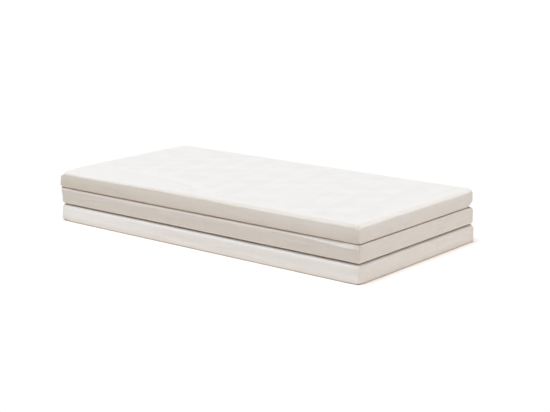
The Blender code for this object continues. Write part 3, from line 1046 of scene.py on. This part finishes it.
def care_label():
    """A blank satin label, sewn in at its upper edge and curling a little below."""
    low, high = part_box("care_label")
    lines = np.linspace(low.y, high.y, 17), np.linspace(high.z, low.z, 29)
    across, down = grid(*lines)
    share = (high.z - down) / (high.z - low.z)
    middle = (across - (low.y + high.y) / 2) / (high.y - low.y)
    curl = 0.0014 * share**2 + 0.0005 * share * np.cos(middle * 5) - 0.0003 * share
    hem = 0.00012 * (bell(share - 0.96, 0.02) + bell(np.abs(middle) - 0.46, 0.02))
    face = high.x - 0.0001 - curl
    front, back = (stacked(x, across, down) for x in (face - 0.00028 - hem, face))
    where = ("label_satin", "middle_panel")
    label = add_piece("care_label_satin", thick(front, back), *where, "care_label")
    ends = [(high.x - 0.0004, y, high.z - 0.0016) for y in (low.y + 0.001, high.y - 0.001)]
    row = stitch_row(*ends, out=(-1, 0, 0), length=0.0022, gap=0.0010, radius=0.00016)
    add_piece("care_label_stitching", row, *where, look="thread")


# Materials


class Graph:
    """A material's nodes, added one at a time."""

    def __init__(self, name):
        self.material = bpy.data.materials.new(name)
        self.material.use_nodes = True
        self.tree = self.material.node_tree
        self.shader = self.tree.nodes["Principled BSDF"]
        self.where = self.add("TexCoord").outputs["Object"]

    def add(self, kind, inputs=(), **values):
        """A node with these settings, and with these inputs set or linked."""
        node = self.tree.nodes.new(f"ShaderNode{kind}")
        for key, value in values.items():
            setattr(node, key, value)
        for key, value in dict(inputs).items():
            self.feed(node.inputs[key], value)
        return node

    def feed(self, target, value):
        if isinstance(value, (int, float)):
            target.default_value = value
        elif isinstance(value, tuple):
            target.default_value = (*value, 1) if len(target.default_value) == 4 else value
        elif value is not None:
            self.tree.links.new(value, target)

    def math(self, operation, *values):
        return self.add("Math", enumerate(values), operation=operation).outputs[0]

    def plus(self, *values):
        return self.math("ADD", *values)

    def times(self, *values):
        return self.math("MULTIPLY", *values)

    def ribs(self, value, turn):
        return self.math("SINE", self.times(value, turn))

    def mix(self, share, first, second, blend="MIX"):
        inputs = {0: share, 6: first, 7: second}
        return self.add("Mix", inputs, data_type="RGBA", blend_type=blend).outputs[2]

    def noise(self, scale, detail=2.0, roughness=0.5):
        """Noise of 0 to 1 whose features are about 1/scale long on each axis."""
        scaled = self.add("Mapping", {"Vector": self.where, "Scale": scale}).outputs[0]
        inputs = {"Vector": scaled, "Scale": 1.0, "Detail": detail, "Roughness": roughness}
        return self.add("TexNoise", inputs).outputs["Fac"]

    def attribute(self, name):
        return self.add("Attribute", attribute_name=name).outputs["Fac"]

    def spread(self, value, *limits):
        """The value from low to high, smoothly as 0 to 1 or as the third to the fourth limit."""
        inputs = enumerate((value, *limits))
        return self.add("MapRange", inputs, interpolation_type="SMOOTHSTEP").outputs[0]

    def axes(self):
        return self.add("SeparateXYZ", {0: self.where}).outputs

    def bump(self, height, distance, strength=1.0, under=None):
        inputs = {"Height": height, "Distance": distance, "Strength": strength, "Normal": under}
        return self.add("Bump", inputs).outputs[0]

    def finish(self, colour, roughness, normal=None, **more):
        inputs = {"Base Color": colour, "Roughness": roughness, "Normal": normal, **more}
        for key, value in inputs.items():
            self.feed(self.shader.inputs[key.replace("_", " ")], value)
        return self.material


def tinted(colour, share):
    return tuple(float(c) for c in np.multiply(colour, share))


def weave_height(g, pitch):
    """Plain weave on any face: over and under along each pair of axes."""
    x, y, z = (g.ribs(axis, TURN / pitch) for axis in g.axes())
    return g.plus(g.plus(g.times(x, y), g.times(x, z)), g.times(y, z))


def yarn_slubs(g):
    """Thick and thin places in the yarns, along X and across it."""
    warp, weft = (g.noise(scale, 1.0) for scale in ((22, 620, 620), (620, 26, 26)))
    return g.plus(g.times(warp, 0.5), g.times(weft, 0.5))


def cotton(name, colour, pitch):
    g = Graph(name)
    weave = weave_height(g, pitch)
    slubs = yarn_slubs(g)
    clouds = g.noise((14, 14, 14), 3.0, 0.6)
    # Painted light: the cotton turned toward its lighter copy by the painted amount
    painted_lit = g.mix(g.attribute("painted_light"), colour, PAINTED_LIGHT_COTTON)
    deep = g.mix(1.0, painted_lit, (0.990, 0.987, 0.981), "MULTIPLY")
    tone = g.mix(g.spread(clouds, 0.30, 0.70), deep, painted_lit)
    tone = g.mix(g.spread(slubs, 0.46, 0.66, 0.0, 0.4), tone, (0.93, 0.93, 0.93), "MULTIPLY")
    tone = g.mix(g.spread(weave, -0.2, -1.0, 0.0, 0.35), tone, (0.8, 0.8, 0.8), "MULTIPLY")
    # Wear, and painted shade on the front sides, darken the cotton toward a warm grey
    tone = g.mix(g.times(g.attribute("wear"), 0.8), tone, (0.93, 0.90, 0.84), "MULTIPLY")
    # Painted shade in the grooves and creases, over the seams' darker lines
    tone = g.mix(g.times(g.attribute("seam_shade"), 0.8), tone, SEAM_SHADE)
    rough = g.spread(slubs, 0.3, 0.7, 0.86, 0.97)
    normal = g.bump(slubs, 0.00030, 0.5, g.bump(weave, 0.00009, 0.6))
    return g.finish(tone, rough, normal, Sheen_Weight=0.06, Specular_IOR_Level=0.18)


def foam():
    g = Graph("foam")
    pores = []
    for scale in (520, 1150):
        cells = g.add("TexVoronoi", {"Vector": g.where, "Scale": scale}, feature="F1")
        pores.append(g.spread(cells.outputs["Distance"], 0.15, 0.55))
    height = g.plus(pores[0], g.times(pores[1], 0.5))
    tone = g.mix(g.spread(height, 0.2, 1.2), tinted(FOAM, 0.86), FOAM)
    aged = tinted(FOAM, (0.98, 0.94, 0.84))
    tone = g.mix(g.times(g.noise((9, 9, 9), 3.0), 0.5), tone, aged)
    return g.finish(tone, 0.96, g.bump(height, 0.0005, 0.8), Specular_IOR_Level=0.1)


def woven_tape(name, colour):
    """Herringbone tape: slanting ribs that turn back every few millimetres."""
    g = Graph(name)
    x, y, z = g.axes()
    zigzag = g.math("PINGPONG", g.plus(z, 1.0), 0.0016)
    ribs = g.ribs(g.plus(g.plus(x, y), zigzag), TURN / 0.0011)
    height = g.plus(ribs, g.times(g.noise((500, 500, 500)), 0.8))
    deep = tinted(colour, 0.80)
    tone = g.mix(g.spread(ribs, -1, 1), deep, colour)
    tone = g.mix(g.times(g.noise((30, 30, 30)), 0.3), tone, deep)
    return g.finish(tone, 0.88, g.bump(height, 0.00012, 0.7), Sheen_Weight=0.1)


def nylon():
    """Smooth translucent monofilament with faint drawing lines."""
    g = Graph("zip_coil")
    lines = g.noise((300, 2600, 300))
    cloudy = g.spread(g.noise((60, 60, 60)), 0.35, 0.65)
    rough = g.spread(lines, 0.3, 0.7, 0.26, 0.42)
    tone = g.mix(cloudy, tinted(NYLON, 0.90), NYLON)
    normal = g.bump(lines, 0.00003, 0.4)
    return g.finish(tone, rough, normal, Subsurface_Weight=0.1, Coat_Weight=0.15)


def nickel():
    """Brushed plated metal, a little dulled and scratched."""
    g = Graph("zip_metal")
    brushed = g.noise((400, 5200, 400), 3.0, 0.6)
    dull = g.noise((260, 260, 260), 3.0)
    tarnish = tinted(NICKEL, (0.80, 0.77, 0.70))
    tone = g.mix(g.spread(dull, 0.50, 0.72, 0.0, 0.6), NICKEL, tarnish)
    rough = g.plus(g.spread(brushed, 0.3, 0.7, 0.20, 0.36), g.times(dull, 0.1))
    return g.finish(tone, rough, g.bump(brushed, 0.00002, 0.5), Metallic=1.0)


def satin():
    """Fine floats across the label, with a soft shine."""
    g = Graph("label_satin")
    floats = g.noise((200, 420, 4200))
    tone = g.mix(g.spread(floats, 0.35, 0.7), tinted(SATIN, 0.92), SATIN)
    normal = g.bump(floats, 0.00004, 0.5)
    return g.finish(tone, 0.42, normal, Anisotropic=0.5, Sheen_Weight=0.15)


def thread():
    g = Graph("thread")
    x, y, z = g.axes()
    twist = g.ribs(g.plus(g.plus(x, y), z), 9000)
    tone = g.mix(g.spread(twist, -1, 1), tinted(THREAD, 0.85), THREAD)
    tone = g.mix(g.times(g.noise((2400, 2400, 2400)), 0.25), tone, tinted(THREAD, 0.9))
    return g.finish(tone, 0.85, g.bump(twist, 0.00005, 0.6), Sheen_Weight=0.1)


def seam_cord():
    """The overcast edge inside the base seam, in darker thread, whose dark brown also paints the
    shade in the groove and at the floor.
    """
    g = Graph("seam_cord")
    x, y, _ = g.axes()
    wraps = g.ribs(g.plus(x, y), TURN / 0.0016)
    tone = g.mix(g.spread(wraps, -1, 1), tinted(SEAM_SHADE, 0.7), SEAM_SHADE)
    tone = g.mix(g.times(g.noise((40, 40, 40)), 0.3), tone, COTTON)
    return g.finish(tone, 0.92, g.bump(wraps, 0.0002, 0.8))


# Every material by the slot it is for, and those that only threads and the self tape have
MATERIALS = {
    "cover_cotton": cotton("cover_cotton", COTTON, 0.0008),
    "base_cotton": cotton("base_cotton", BASE_COTTON, 0.0012),
    "hinge_cotton": cotton("hinge_cotton", COTTON, 0.0010),
    "zip_tape": woven_tape("zip_tape", NYLON),
    "hinge_tape": woven_tape("hinge_tape", WEBBING),
    "foam": foam(),
    "zip_coil": nylon(),
    "zip_metal": nickel(),
    "label_satin": satin(),
    "thread": thread(),
    "seam_cord": seam_cord(),
}


# Camera, floor and lights


def toward(azimuth, elevation):
    """The direction to a camera or a light; azimuth 0 lies at -Y and 90 at +X."""
    a, e = math.radians(azimuth), math.radians(elevation)
    return Vector((math.sin(a) * math.cos(e), -math.cos(a) * math.cos(e), math.sin(e)))


def add_camera():
    back = toward(CAMERA_YAW, CAMERA_PITCH)
    right = (-back).cross(Vector((0, 0, 1))).normalized()
    turn = Matrix((right, right.cross(-back), back)).transposed().to_4x4()
    data = bpy.data.cameras.new("camera")
    data.lens = CAMERA_LENS
    data.sensor_width = 36
    data.clip_end = 200
    camera = add_object("camera", data)
    roll = Matrix.Rotation(math.radians(CAMERA_ROLL), 4, "Z")
    camera.matrix_world = Matrix.Translation(CAMERA_AT) @ turn @ roll
    bpy.context.scene.camera = camera


def add_floor():
    g = Graph("floor_paper")
    tooth = g.bump(g.noise((900, 900, 900)), 0.0001, 0.1)
    paper = g.finish(FLOOR_COLOUR, 1.0, tooth, Specular_IOR_Level=0.0)
    corners = [(x * FLOOR_HALF, y * FLOOR_HALF, 0) for x, y in ((-1, -1), (1, -1), (1, 1), (-1, 1))]
    mesh_object("floor", corners, [(0, 1, 2, 3)], paper)


def add_sky():
    """Bright overhead, dim above the pale cove at the horizon."""
    world = bpy.data.worlds.new("studio")
    bpy.context.scene.world = world
    world.use_nodes = True
    tree = world.node_tree
    tree.nodes.clear()
    kinds = ("TexCoord", "SeparateXYZ", "ValToRGB", "Background", "OutputWorld")
    where, split, ramp, light, out = (tree.nodes.new(f"ShaderNode{kind}") for kind in kinds)
    tree.links.new(where.outputs["Generated"], split.inputs[0])
    tree.links.new(split.outputs["Z"], ramp.inputs["Fac"])
    tree.links.new(ramp.outputs["Color"], light.inputs["Color"])
    tree.links.new(light.outputs[0], out.inputs[0])
    stops = ramp.color_ramp.elements
    stops.remove(stops[1])
    stops[0].color = (*SKY[0][1], 1)
    for position, colour in SKY[1:]:
        stops.new(position).color = (*colour, 1)


def add_sun(name, azimuth, elevation, strength, angle, colour):
    light = bpy.data.lights.new(name, "SUN")
    light.energy = strength
    light.angle = math.radians(angle)
    light.color = colour
    sun = add_object(name, light)
    sun.rotation_mode = "QUATERNION"
    sun.rotation_quaternion = toward(azimuth, elevation).to_track_quat("Z", "Y")


def set_display():
    view = bpy.context.scene.view_settings
    view.view_transform = "Standard"
    view.look = "None"
    view.exposure = 0
    view.gamma = 1


def add_panel(panel, coarse, fine):
    outer = main_cover(fine, coarse, panel)
    block = add_to_panel(panel, "foam", foam_shape(coarse, panel), "foam", "foam_core")
    sheet = add_to_panel(panel, "base", base_sheet_shape(panel), "base_cotton", "base_sheet")
    seam = seam_bead_shape(outer, fine)
    add_to_panel(panel, "base_seam", seam, "base_cotton", look="seam_cord")
    if panel == "top":
        end = thread_end_shape(outer, fine)
        add_to_panel(panel, "thread_end", end, "cover_cotton", look="seam_cord")
    add_zip(panel)


def main():
    set_display()
    add_camera()
    add_floor()
    add_sky()
    add_sun("key", *KEY_SUN)
    add_sun("fill", *FILL_SUN)
    coarse, fine = make_skins()
    for panel in PANELS:
        add_panel(panel, coarse, fine)
    hinge_tape("lower_hinge_tape", ("bottom_panel", "middle_panel"), "hinge_cotton")
    # The upper hinge tape in the dark webbing, which paints the crease's shade
    hinge_tape("upper_hinge_tape", ("middle_panel", "top_panel"), "hinge_tape")
    care_label()


main()
